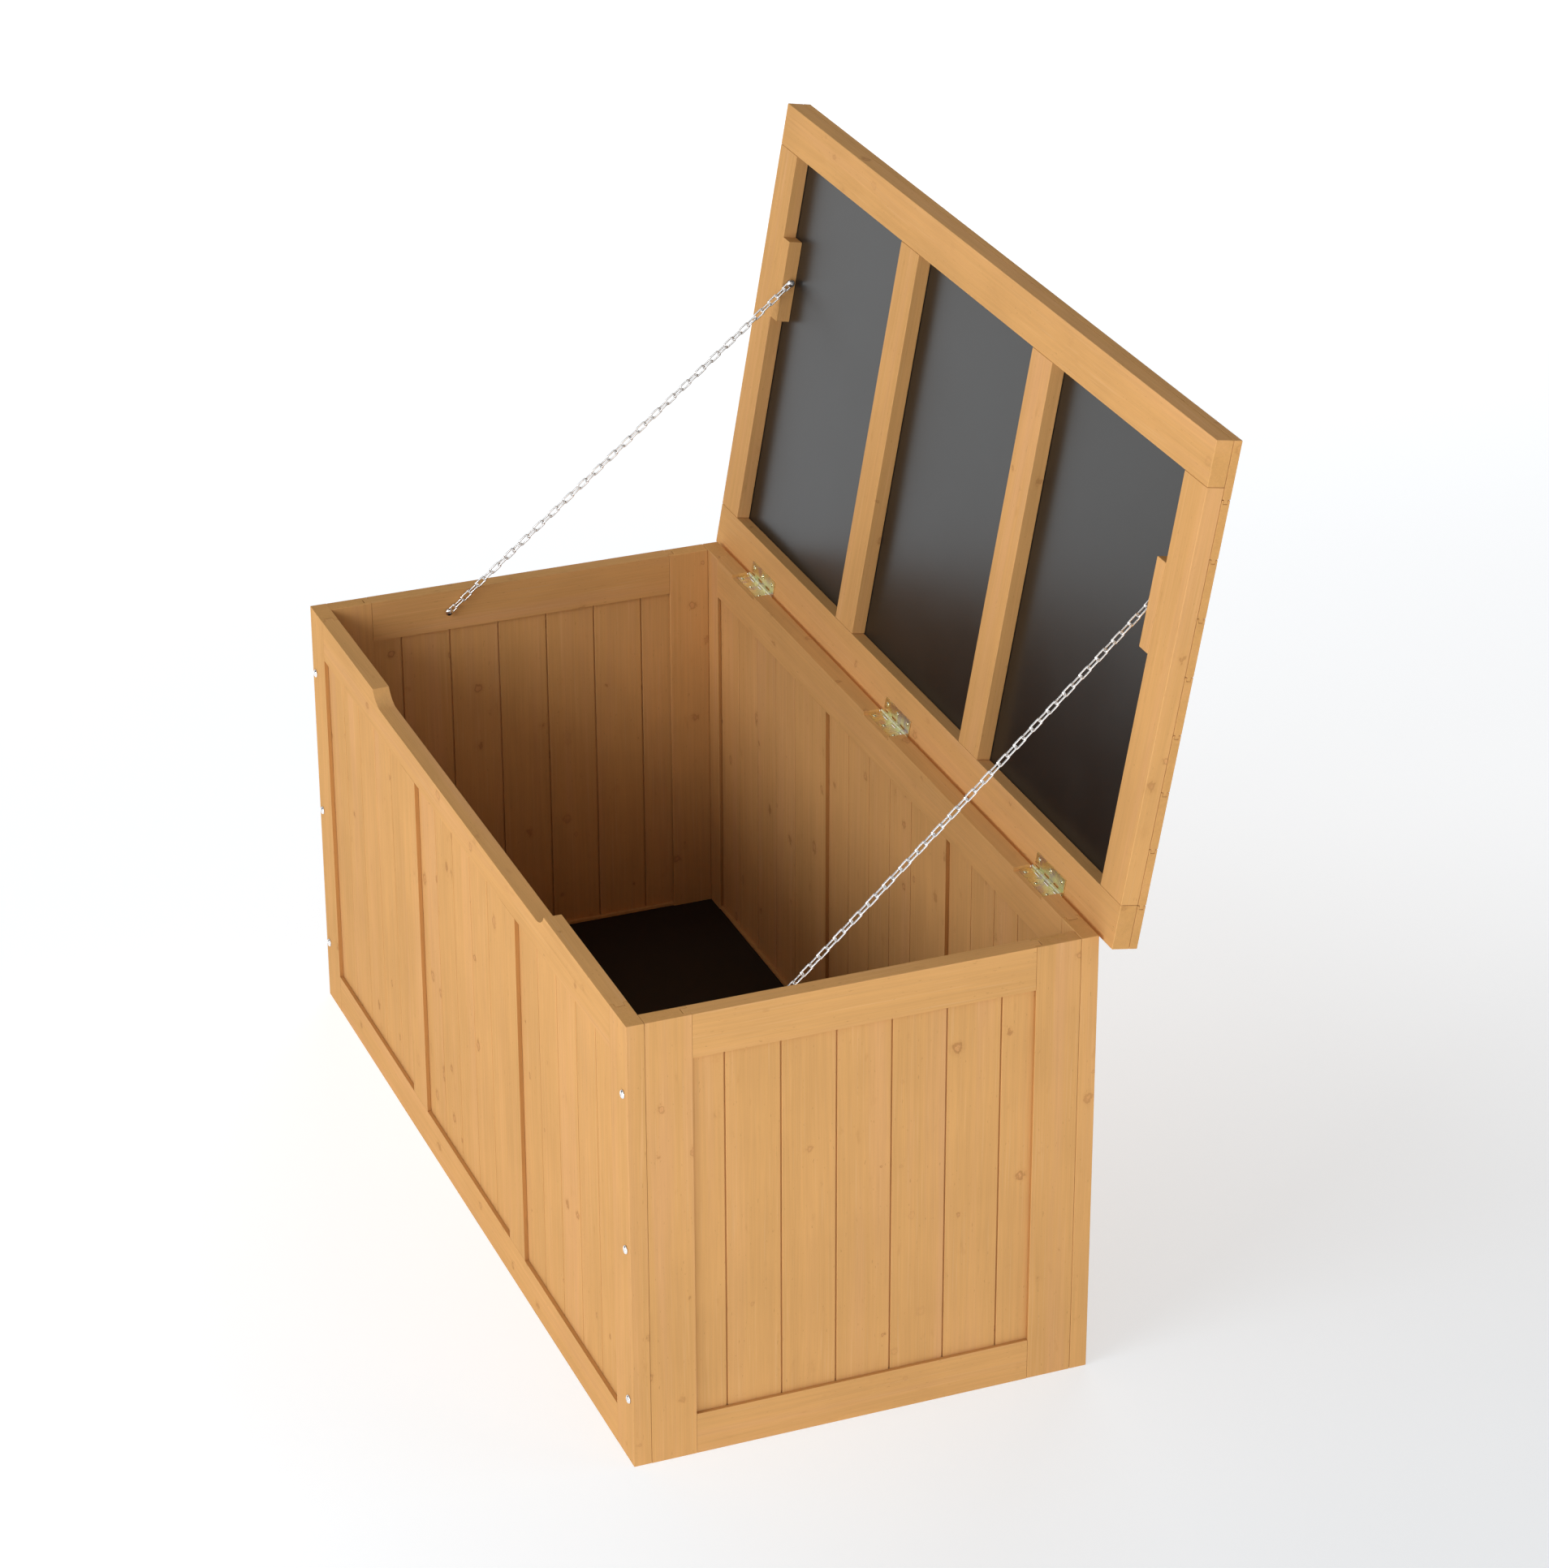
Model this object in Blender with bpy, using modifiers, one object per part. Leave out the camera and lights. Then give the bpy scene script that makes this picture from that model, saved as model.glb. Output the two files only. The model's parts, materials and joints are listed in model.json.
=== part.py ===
"""Wooden toy box: a framed and boarded carcass with a hinged lid held open by two chains.

Run with: blender --background --python part.py
Units are metres, +Z is up, the front faces -Y and the long side lies along X.
The origin is the centre of the whole open box's footprint, on the floor.
"""

import math

import bmesh
import bpy
from mathutils import Vector

# Carcass
WIDTH = 1.000
DEPTH = 0.4705
HEIGHT = 0.4769
FRAME_T = 0.0178
MEMBER_W = 0.0455
BOTTOM_RAIL_W = 0.0440
MUNTIN_W = 0.0465
MUNTIN_X = 0.159

# Tongues, grooves and the boards held in them
GAP = 0.0003
BOARD_T = 0.0090
GROOVE_W = BOARD_T + 2 * GAP
GROOVE_D = 0.0070
TONGUE_T = 0.0090
TONGUE_L = 0.0065
BOARD_ENTRY = 0.0060
BOARD_PITCH = 0.0555
V_WIDTH = 0.0030
V_DEPTH = 0.0016

# Finger notch in the front top rail
NOTCH_DEPTH = 0.0142
NOTCH_FLAT_HALF = 0.248
NOTCH_COVE_R = 0.0285

# Floor panel, held in grooves of the bottom rails
FLOOR_TOP = 0.0405
FLOOR_T = 0.0040
FLOOR_ENTRY = 0.0022
FLOOR_GROOVE_D = 0.0026

# Lid
LID_WIDTH = 1.0346
LID_DEPTH = 0.5060
LID_FRAME_T = 0.0178
DECK_T = 0.0088
LID_MEMBER_W = 0.0452
LID_MUNTIN_X = 0.162
LINER_T = 0.0025
LINER_REBATE = 0.0080
LINER_FACE = 0.0150
DECK_PITCH = 0.0577
DECK_BACK_BOARD = 0.0449
BACK_OVERHANG = 0.0069
LID_OPEN_DEG = 99.94

# Chain blocks on the lid's side stiles
BLOCK_W = 0.0175
BLOCK_L = 0.0900
BLOCK_FROM_BACK = 0.3251

# Butt hinges: the pin's axis lies just behind and below the carcass's back top edge
AXIS_BEHIND = 0.0027
AXIS_BELOW = 0.0026
HINGE_X = (-0.376, 0.0, 0.376)
HINGE_L = 0.0640
HINGE_LEAF_W = 0.0155
HINGE_LEAF_T = 0.0010
KNUCKLE_R = 0.0026
KNUCKLES = 6
BORE_R = 0.0014
PIN_R = 0.0012
BOX_LEAF_BELOW_AXIS = 0.0002
LID_LEAF_ABOVE_AXIS = 0.0016
KNUCKLE_SLOT = 0.0038

# Stay chains and screws
CHAIN_OUTER_R = 0.0032
CHAIN_STANDOFF = 0.0045
CHAIN_Y = -0.08575
CHAIN_END_CLEAR = 0.0055
SCREW_HEAD_R = 0.0044
SCREW_HEAD_H = 0.0024
SCREW_SHANK_R = 0.0019
CARCASS_SCREW_L = 0.0300
CHAIN_SCREW_L = 0.0140
CHAIN_HEAD_CLEAR = 0.0050
CORNER_SCREW_X = 0.489
CORNER_SCREW_Z = (0.0702, 0.2354, 0.4016)

# How finely round shapes are cut, and how far cutters run past what they cut
ROD_SIDES = 14
CHAIN_SIDES = 12
SCREW_STEPS = 12
HEAD_STEPS = 5
COVE_STEPS = 8
MERGE = 0.00001
OVERRUN = 0.0100
SLOT_OVERRUN = 0.0020
SMOOTH_ANGLE = math.radians(40)

# Worked out from the dimensions above
FRONT_Y = -DEPTH / 2
BACK_Y = DEPTH / 2
INNER_FRONT_Y = FRONT_Y + FRAME_T
INNER_BACK_Y = BACK_Y - FRAME_T
INNER_X = WIDTH / 2 - FRAME_T
AXIS_Y = BACK_Y + AXIS_BEHIND
AXIS_Z = HEIGHT - AXIS_BELOW
LID_UNDER_Z = HEIGHT + GAP
LID_BACK_Y = BACK_Y + BACK_OVERHANG
LID_FRONT_Y = LID_BACK_Y - LID_DEPTH
LID_TOP_Z = LID_UNDER_Z + LID_FRAME_T + DECK_T
OPEN_ANGLE = math.radians(LID_OPEN_DEG)


def opened(point):
    """A point given on the closed lid, moved to where it is with the lid open."""
    x, y, z = point
    dy, dz = y - AXIS_Y, z - AXIS_Z
    c, s = math.cos(OPEN_ANGLE), math.sin(OPEN_ANGLE)
    return Vector((x, AXIS_Y + dy * c + dz * s, AXIS_Z - dy * s + dz * c))


FOOTPRINT_FRONT = FRONT_Y - GAP - SCREW_HEAD_H
FOOTPRINT_BACK = opened((0, LID_FRONT_Y, LID_TOP_Z)).y
SHIFT_Y = -(FOOTPRINT_FRONT + FOOTPRINT_BACK) / 2

MATERIALS = {
    "frame_wood": ((0.62, 0.36, 0.14), 0.45, 0.0),
    "board_wood": ((0.60, 0.34, 0.13), 0.45, 0.0),
    "dark_liner": ((0.05, 0.05, 0.05), 0.40, 0.0),
    "yellow_zinc": ((0.72, 0.62, 0.32), 0.28, 1.0),
    "bright_steel": ((0.78, 0.78, 0.78), 0.18, 1.0),
}


def clear_scene():
    for obj in list(bpy.data.objects):
        bpy.data.objects.remove(obj, do_unlink=True)


def new_collection(name):
    collection = bpy.data.collections.new(name)
    bpy.context.scene.collection.children.link(collection)
    return collection


def make_materials():
    for name, (colour, roughness, metallic) in MATERIALS.items():
        material = bpy.data.materials.new(name)
        material.use_nodes = True
        shader = material.node_tree.nodes["Principled BSDF"]
        shader.inputs["Base Color"].default_value = (*colour, 1.0)
        shader.inputs["Roughness"].default_value = roughness
        shader.inputs["Metallic"].default_value = metallic


clear_scene()
PARTS = new_collection("wooden_toy_box")
CUTTERS = new_collection("cutters")
make_materials()


def add_empty(name, location, parent=None):
    empty = bpy.data.objects.new(name, None)
    empty.empty_display_size = 0.05
    empty.location = location
    empty.parent = parent
    PARTS.objects.link(empty)
    return empty


BASE = add_empty("box_origin", (0, SHIFT_Y, 0))
LID_PIVOT = add_empty("lid_pivot", (0, AXIS_Y, AXIS_Z), BASE)
LID_PIVOT.rotation_euler.x = -OPEN_ANGLE


def add_object(name, mesh, centre, material, on_lid):
    """Link a part whose mesh is about `centre`, a point of the carcass or of the closed lid."""
    obj = bpy.data.objects.new(name, mesh)
    obj.parent = LID_PIVOT if on_lid else BASE
    obj.location = Vector(centre) - (LID_PIVOT.location if on_lid else Vector())
    if material is None:
        CUTTERS.objects.link(obj)
        obj.hide_render = True
        obj.display_type = "WIRE"
    else:
        PARTS.objects.link(obj)
        mesh.materials.append(bpy.data.materials[material])
    return obj


def box_mesh(name, size):
    mesh = bpy.data.meshes.new(name)
    shape = bmesh.new()
    bmesh.ops.create_cube(shape, size=1.0)
    bmesh.ops.scale(shape, vec=size, verts=shape.verts)
    shape.to_mesh(mesh)
    shape.free()
    return mesh


def add_box(name, low, high, material=None, on_lid=False):
    low, high = Vector(low), Vector(high)
    return add_object(name, box_mesh(name, high - low), (low + high) / 2, material, on_lid)


def add_rod(name, start, end, radius, material=None, on_lid=False, sides=ROD_SIDES):
    start, end = Vector(start), Vector(end)
    mesh = bpy.data.meshes.new(name)
    shape = bmesh.new()
    bmesh.ops.create_cone(
        shape, cap_ends=True, segments=sides, radius1=radius, radius2=radius, depth=(end - start).length
    )
    shape.to_mesh(mesh)
    shape.free()
    rod = add_object(name, mesh, (start + end) / 2, material, on_lid)
    rod.rotation_mode = "QUATERNION"
    rod.rotation_quaternion = (end - start).to_track_quat("Z", "Y")
    mesh.shade_smooth()
    mesh.set_sharp_from_angle(angle=SMOOTH_ANGLE)
    return rod


def add_prism(name, outline, length, centre, turn, material=None, on_lid=False):
    """Extrude a flat outline by `length`; `turn` is the rotation that stands it in place."""
    curve = bpy.data.curves.new(name, "CURVE")
    curve.dimensions = "2D"
    curve.fill_mode = "BOTH"
    curve.extrude = length / 2
    spline = curve.splines.new("POLY")
    spline.points.add(len(outline) - 1)
    for point, (u, v) in zip(spline.points, outline):
        point.co = (u, v, 0.0, 1.0)
    spline.use_cyclic_u = True
    flat = bpy.data.objects.new(name + "_outline", curve)
    CUTTERS.objects.link(flat)
    bpy.context.view_layer.update()
    mesh = bpy.data.meshes.new_from_object(flat.evaluated_get(bpy.context.evaluated_depsgraph_get()))
    bpy.data.objects.remove(flat, do_unlink=True)
    mesh.materials.clear()
    mesh.name = name
    shape = bmesh.new()
    shape.from_mesh(mesh)
    bmesh.ops.remove_doubles(shape, verts=shape.verts, dist=MERGE)
    bmesh.ops.recalc_face_normals(shape, faces=shape.faces)
    shape.to_mesh(mesh)
    shape.free()
    prism = add_object(name, mesh, centre, material, on_lid)
    prism.rotation_euler = turn
    return prism


def boolean(obj, other, operation="DIFFERENCE"):
    """Cut `other` out of `obj`, or join it on."""
    modifier = obj.modifiers.new(other.name, "BOOLEAN")
    modifier.operation = operation
    modifier.solver = "EXACT"
    modifier.object = other


def cut_box(obj, label, low, high, on_lid=False):
    boolean(obj, add_box(f"{obj.name}_{label}", low, high, None, on_lid))


def span(axis, value, low, high):
    """Box corners whose `axis` runs over `value` = (from, to), the other axes from low to high."""
    low, high = list(low), list(high)
    low[axis], high[axis] = value
    return low, high


def add_member(name, low, high, thick_axis, grooves, tongues, on_lid=False):
    """A frame member: a batten with grooves along some edges and tongues on some ends.

    thick_axis is the axis through the frame's thickness. grooves and tongues are lists of
    (axis, side): the groove runs in that face, and the tongue reaches GAP short of the
    groove's floor beyond that end. The given corners leave the tongues out.
    """
    low, high = list(low), list(high)
    bounds = (list(low), list(high))
    for axis, side in tongues:
        bounds[side][axis] += TONGUE_L * (1 if side else -1)
    member = add_box(name, bounds[0], bounds[1], "frame_wood", on_lid)
    far_low = [value - OVERRUN for value in bounds[0]]
    far_high = [value + OVERRUN for value in bounds[1]]
    middle = (low[thick_axis] + high[thick_axis]) / 2
    for axis, side in grooves:
        edge = (low, high)[side][axis]
        inner = edge - GROOVE_D if side else edge + GROOVE_D
        reach = (inner, far_high[axis]) if side else (far_low[axis], inner)
        a, b = span(axis, reach, far_low, far_high)
        a, b = span(thick_axis, (middle - GROOVE_W / 2, middle + GROOVE_W / 2), a, b)
        cut_box(member, f"groove_{axis}{side}", a, b, on_lid)
    for axis, side in tongues:
        shoulder = (low, high)[side][axis]
        reach = (shoulder, far_high[axis]) if side else (far_low[axis], shoulder)
        for cheek, (start, end) in enumerate(
            ((far_low[thick_axis], middle - TONGUE_T / 2), (middle + TONGUE_T / 2, far_high[thick_axis]))
        ):
            a, b = span(axis, reach, far_low, far_high)
            a, b = span(thick_axis, (start, end), a, b)
            cut_box(member, f"shoulder_{axis}{side}{cheek}", a, b, on_lid)
    return member


def board_joints(middle, half_width):
    """Places of the joints between boards, spaced evenly about the middle of the opening."""
    joints = []
    offset = BOARD_PITCH / 2
    while offset < half_width:
        joints += [middle - offset, middle + offset]
        offset += BOARD_PITCH
    return sorted(joints)


def grooved_outline(start, end, thickness, joints, both_faces=True):
    """Section across a row of boards: a long rectangle with a V at each joint."""
    low, high = -thickness / 2, thickness / 2
    lower = [(start, low)]
    for joint in joints if both_faces else []:
        lower += [(joint - V_WIDTH / 2, low), (joint, low + V_DEPTH), (joint + V_WIDTH / 2, low)]
    lower.append((end, low))
    upper = [(end, high)]
    for joint in reversed(joints):
        upper += [(joint + V_WIDTH / 2, high), (joint, high - V_DEPTH), (joint - V_WIDTH / 2, high)]
    upper.append((start, high))
    return lower + upper


def add_panel(name, centre, half_width, along_x):
    """Vertical boards joined into one panel, held in the grooves all round its opening."""
    low_z = BOTTOM_RAIL_W - BOARD_ENTRY
    high_z = HEIGHT - MEMBER_W + BOARD_ENTRY
    half = half_width + BOARD_ENTRY
    outline = grooved_outline(-half, half, BOARD_T, board_joints(0.0, half_width))
    place = (centre[0], centre[1], (low_z + high_z) / 2)
    turn = (0, 0, 0 if along_x else math.pi / 2)
    return add_prism(name, outline, high_z - low_z, place, turn, "board_wood")


def screw_mesh(name, head_base, shank_length):
    """A pan-head screw along Z; its head's underside is `head_base` above the wood at z = 0."""
    profile = []
    for step in range(HEAD_STEPS + 1):
        angle = math.pi / 2 * (1 - step / HEAD_STEPS)
        rise = SCREW_HEAD_H * math.sin(angle)
        profile.append((SCREW_HEAD_R * math.cos(angle), head_base + rise))
    profile += [
        (SCREW_SHANK_R, head_base),
        (SCREW_SHANK_R, -shank_length + 2 * SCREW_SHANK_R),
        (0.0, -shank_length),
    ]
    mesh = bpy.data.meshes.new(name)
    shape = bmesh.new()
    verts = [shape.verts.new((radius, 0.0, z)) for radius, z in profile]
    for a, b in zip(verts, verts[1:]):
        shape.edges.new((a, b))
    shape.to_mesh(mesh)
    shape.free()
    return mesh


def add_screw(name, wood_point, direction, head_base, length, on_lid=False):
    """A screw whose head faces along `direction`, with its shank sunk `length` into the wood."""
    mesh = screw_mesh(name, head_base, length)
    screw = add_object(name, mesh, wood_point, "bright_steel", on_lid)
    screw.rotation_mode = "QUATERNION"
    screw.rotation_quaternion = Vector(direction).to_track_quat("Z", "Y")
    turn = screw.modifiers.new("turn", "SCREW")
    turn.steps = SCREW_STEPS
    turn.render_steps = SCREW_STEPS
    turn.use_merge_vertices = True
    turn.merge_threshold = MERGE
    return screw


def drill(label, wood_point, direction, depth, members, on_lid=False):
    """A clearance hole for a screw, cut in each member that the shank passes through."""
    start = Vector(wood_point) + Vector(direction) * OVERRUN
    end = Vector(wood_point) - Vector(direction) * (depth + GAP)
    cutter = add_rod(label, start, end, SCREW_SHANK_R + GAP, None, on_lid)
    for member in members:
        boolean(member, cutter)


def build_long_frame(prefix, outer_y, inner_y):
    """Front or back frame: full-height stiles, two rails and two muntins, open in three bays."""
    y_low, y_high = sorted((outer_y, inner_y))
    stile_in = WIDTH / 2 - MEMBER_W
    members = {}
    for side_name, sign in (("left", -1), ("right", 1)):
        x_low, x_high = sorted((sign * WIDTH / 2, sign * stile_in))
        inner_side = 1 if sign < 0 else 0
        members[side_name] = add_member(
            f"{prefix}_{side_name}_stile", (x_low, y_low, 0), (x_high, y_high, HEIGHT), 1,
            [(0, inner_side)], [],
        )
    rail_x = stile_in - GAP
    for rail_name, z_low, z_high, inner_side in (
        ("bottom", 0.0, BOTTOM_RAIL_W, 1),
        ("top", HEIGHT - MEMBER_W, HEIGHT, 0),
    ):
        members[rail_name] = add_member(
            f"{prefix}_{rail_name}_rail", (-rail_x, y_low, z_low), (rail_x, y_high, z_high), 1,
            [(2, inner_side)], [(0, 0), (0, 1)],
        )
    for side_name, sign in (("left", -1), ("right", 1)):
        x = sign * MUNTIN_X
        add_member(
            f"{prefix}_muntin_{side_name}",
            (x - MUNTIN_W / 2, y_low, BOTTOM_RAIL_W + GAP),
            (x + MUNTIN_W / 2, y_high, HEIGHT - MEMBER_W - GAP),
            1, [(0, 0), (0, 1)], [(2, 0), (2, 1)],
        )
    side_bay = (MUNTIN_X + MUNTIN_W / 2 + stile_in) / 2
    side_half = (stile_in - MUNTIN_X - MUNTIN_W / 2) / 2
    middle_half = MUNTIN_X - MUNTIN_W / 2
    y = (y_low + y_high) / 2
    for bay_name, x, half in (
        ("left", -side_bay, side_half), ("middle", 0.0, middle_half), ("right", side_bay, side_half)
    ):
        add_panel(f"{prefix}_boards_{bay_name}", (x, y), half, True)
    return members


def build_end_frame(side_name, sign):
    """End frame, fitted between the front and back frames."""
    x_low, x_high = sorted((sign * WIDTH / 2, sign * INNER_X))
    front, back = INNER_FRONT_Y + GAP, INNER_BACK_Y - GAP
    members = {}
    for stile_name, y_low, y_high, inner_side in (
        ("front", front, front + MEMBER_W, 1), ("back", back - MEMBER_W, back, 0)
    ):
        members[stile_name] = add_member(
            f"{side_name}_{stile_name}_stile", (x_low, y_low, 0), (x_high, y_high, HEIGHT), 0,
            [(1, inner_side)], [],
        )
    rail_low, rail_high = front + MEMBER_W + GAP, back - MEMBER_W - GAP
    for rail_name, z_low, z_high, inner_side in (
        ("bottom", 0.0, BOTTOM_RAIL_W, 1),
        ("top", HEIGHT - MEMBER_W, HEIGHT, 0),
    ):
        members[rail_name] = add_member(
            f"{side_name}_{rail_name}_rail", (x_low, rail_low, z_low), (x_high, rail_high, z_high), 0,
            [(2, inner_side)], [(1, 0), (1, 1)],
        )
    x = (x_low + x_high) / 2
    add_panel(f"{side_name}_boards", (x, 0.0), rail_high + GAP, False)
    return members


def cut_finger_notch(rail):
    """A wide shallow notch with coved ends, through the rail's top edge."""
    floor_z = HEIGHT - NOTCH_DEPTH
    above = HEIGHT + OVERRUN
    sweep = math.acos(1 - NOTCH_DEPTH / NOTCH_COVE_R)
    cove = []
    for step in range(COVE_STEPS + 1):
        angle = sweep * step / COVE_STEPS
        x = NOTCH_FLAT_HALF + NOTCH_COVE_R * math.sin(angle)
        cove.append((x, floor_z + NOTCH_COVE_R * (1 - math.cos(angle))))
    right = cove + [(cove[-1][0], above)]
    outline = right + [(-x, z) for x, z in reversed(right)]
    centre = (0, (FRONT_Y + INNER_FRONT_Y) / 2, 0)
    cutter = add_prism("finger_notch_cutter", outline, FRAME_T + OVERRUN, centre, (math.pi / 2, 0, 0))
    boolean(rail, cutter)


def build_floor(front, back, left, right):
    """Floor panel let into the bottom rails and notched round the stiles."""
    low, high = FLOOR_TOP - FLOOR_T, FLOOR_TOP
    rail_x = WIDTH / 2 - MEMBER_W - GAP
    rail_y = INNER_BACK_Y - MEMBER_W - 2 * GAP
    inner_x, inner_y = INNER_X - GAP, INNER_BACK_Y - GAP
    reach_x, reach_y = INNER_X + FLOOR_ENTRY, INNER_BACK_Y + FLOOR_ENTRY
    quarter = [
        (reach_x, 0.0), (reach_x, rail_y), (inner_x, rail_y), (inner_x, inner_y),
        (rail_x, inner_y), (rail_x, reach_y), (0.0, reach_y),
    ]
    top_half = quarter + [(-x, y) for x, y in reversed(quarter[:-1])]
    outline = top_half + [(x, -y) for x, y in reversed(top_half[1:-1])]
    add_prism("floor_panel", outline, FLOOR_T, (0, 0, (low + high) / 2), (0, 0, 0), "dark_liner")
    z = (low - GAP, high + GAP)
    for rail, sign in ((front, -1), (back, 1)):
        y = sorted((sign * (INNER_BACK_Y - OVERRUN), sign * (INNER_BACK_Y + FLOOR_GROOVE_D)))
        cut_box(rail, "floor_groove", (-WIDTH, y[0], z[0]), (WIDTH, y[1], z[1]))
    for rail, sign in ((left, -1), (right, 1)):
        x = sorted((sign * (INNER_X - OVERRUN), sign * (INNER_X + FLOOR_GROOVE_D)))
        cut_box(rail, "floor_groove", (x[0], -DEPTH, z[0]), (x[1], DEPTH, z[1]))


def build_corner_screws(front, ends):
    """Three screws at each front corner, through the front stile into the end frame's stile."""
    for side_name, sign in (("left", -1), ("right", 1)):
        for level, z in zip(("low", "middle", "high"), CORNER_SCREW_Z):
            point = (sign * CORNER_SCREW_X, FRONT_Y, z)
            name = f"front_{side_name}_screw_{level}"
            stiles = (front[side_name], ends[side_name]["front"])
            add_screw(name, point, (0, -1, 0), GAP, CARCASS_SCREW_L)
            drill(f"{name}_hole", point, (0, -1, 0), CARCASS_SCREW_L, stiles)


def build_carcass():
    front = build_long_frame("front", FRONT_Y, INNER_FRONT_Y)
    back = build_long_frame("back", BACK_Y, INNER_BACK_Y)
    ends = {"left": build_end_frame("left", -1), "right": build_end_frame("right", 1)}
    cut_finger_notch(front["top"])
    build_floor(front["bottom"], back["bottom"], ends["left"]["bottom"], ends["right"]["bottom"])
    build_corner_screws(front, ends)
    return back, ends


def cut_liner_rebate(member, low, high):
    """Rebate in the top of a lid frame member, for the edge of the liner."""
    top = LID_UNDER_Z + LID_FRAME_T
    floor_z = LID_UNDER_Z + LINER_FACE
    cut_box(member, "rebate", (low[0], low[1], floor_z), (high[0], high[1], top + OVERRUN), True)


def build_lid_frame():
    """Rails, stiles and muntins of the lid, drawn in its closed place."""
    low_z, high_z = LID_UNDER_Z, LID_UNDER_Z + LID_FRAME_T
    half = LID_WIDTH / 2
    open_x = half - LID_MEMBER_W
    open_back = LID_BACK_Y - LID_MEMBER_W
    open_front = LID_FRONT_Y + LID_MEMBER_W
    rebate_low = (-open_x - LINER_REBATE, open_front - LINER_REBATE)
    rebate_high = (open_x + LINER_REBATE, open_back + LINER_REBATE)
    for name, y_low, y_high in (
        ("back_rail", open_back, LID_BACK_Y), ("front_rail", LID_FRONT_Y, open_front)
    ):
        rail = add_box(f"lid_{name}", (-half, y_low, low_z), (half, y_high, high_z), "frame_wood", True)
        cut_liner_rebate(rail, rebate_low, rebate_high)
    for side_name, sign in (("left", -1), ("right", 1)):
        x_low, x_high = sorted((sign * open_x, sign * half))
        stile = add_box(
            f"lid_{side_name}_stile",
            (x_low, open_front + GAP, low_z),
            (x_high, open_back - GAP, high_z),
            "frame_wood", True,
        )
        cut_liner_rebate(stile, rebate_low, rebate_high)
        x = sign * LID_MUNTIN_X
        add_box(
            f"lid_muntin_{side_name}",
            (x - LID_MEMBER_W / 2, open_front + GAP, low_z),
            (x + LID_MEMBER_W / 2, open_back - GAP, low_z + LINER_FACE),
            "frame_wood", True,
        )
    liner_z = low_z + LINER_FACE + GAP
    add_box(
        "lid_liner",
        (rebate_low[0] + GAP, rebate_low[1] + GAP, liner_z),
        (rebate_high[0] - GAP, rebate_high[1] - GAP, liner_z + LINER_T),
        "dark_liner", True,
    )


def build_deck():
    """Boards along the lid's length, laid over its frame."""
    joints = []
    place = LID_BACK_Y - DECK_BACK_BOARD
    while place > LID_FRONT_Y + DECK_PITCH / 2:
        joints.append(place)
        place -= DECK_PITCH
    middle = (LID_BACK_Y + LID_FRONT_Y) / 2
    half = LID_DEPTH / 2
    outline = grooved_outline(
        -half, half, DECK_T - GAP, sorted(joint - middle for joint in joints), both_faces=False
    )
    z = LID_TOP_Z - (DECK_T - GAP) / 2
    turn = (math.pi / 2, 0, math.pi / 2)
    add_prism("lid_deck", outline, LID_WIDTH, (0, middle, z), turn, "board_wood", True)


def build_chain(side_name, sign, end_rail):
    """A stay chain from the end frame's top rail to the block on the lid, and its two screws."""
    stile_in = LID_WIDTH / 2 - LID_MEMBER_W
    x_low, x_high = sorted((sign * (stile_in - GAP), sign * (stile_in - BLOCK_W)))
    middle_y = LID_BACK_Y - BLOCK_FROM_BACK
    block = add_box(
        f"chain_block_{side_name}",
        (x_low, middle_y - BLOCK_L / 2, LID_UNDER_Z),
        (x_high, middle_y + BLOCK_L / 2, LID_UNDER_Z + LINER_FACE),
        "frame_wood", True,
    )
    inward = (-sign, 0, 0)
    rail_point = Vector((sign * INNER_X, CHAIN_Y, HEIGHT - MEMBER_W / 2))
    block_x = sign * (stile_in - BLOCK_W)
    block_point = Vector((block_x, middle_y, LID_UNDER_Z + LINER_FACE / 2))
    rail_screw = f"chain_screw_{side_name}_rail"
    add_screw(rail_screw, rail_point, inward, CHAIN_HEAD_CLEAR, CHAIN_SCREW_L)
    drill(f"{rail_screw}_hole", rail_point, inward, CHAIN_SCREW_L, (end_rail,))
    block_screw = f"chain_screw_{side_name}_block"
    add_screw(block_screw, block_point, inward, CHAIN_HEAD_CLEAR, CHAIN_SCREW_L, True)
    drill(f"{block_screw}_hole", block_point, inward, CHAIN_SCREW_L, (block,), True)
    standoff = Vector(inward) * CHAIN_STANDOFF
    start = rail_point + standoff
    end = opened(block_point + standoff)
    along = (end - start).normalized()
    add_rod(
        f"chain_{side_name}", start + along * CHAIN_END_CLEAR, end - along * CHAIN_END_CLEAR,
        CHAIN_OUTER_R, "bright_steel", sides=CHAIN_SIDES,
    )


def knuckle_spans(x):
    """The stretch of X that each knuckle of a hinge centred on x takes, in order."""
    length = HINGE_L / KNUCKLES
    start = x - HINGE_L / 2
    return [(start + i * length + GAP / 2, start + (i + 1) * length - GAP / 2) for i in range(KNUCKLES)]


def add_axis_rod(name, x_low, x_high, radius, material, on_lid=False):
    """A rod along the hinge axis, from x_low to x_high."""
    return add_rod(name, (x_low, AXIS_Y, AXIS_Z), (x_high, AXIS_Y, AXIS_Z), radius, material, on_lid)


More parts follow.
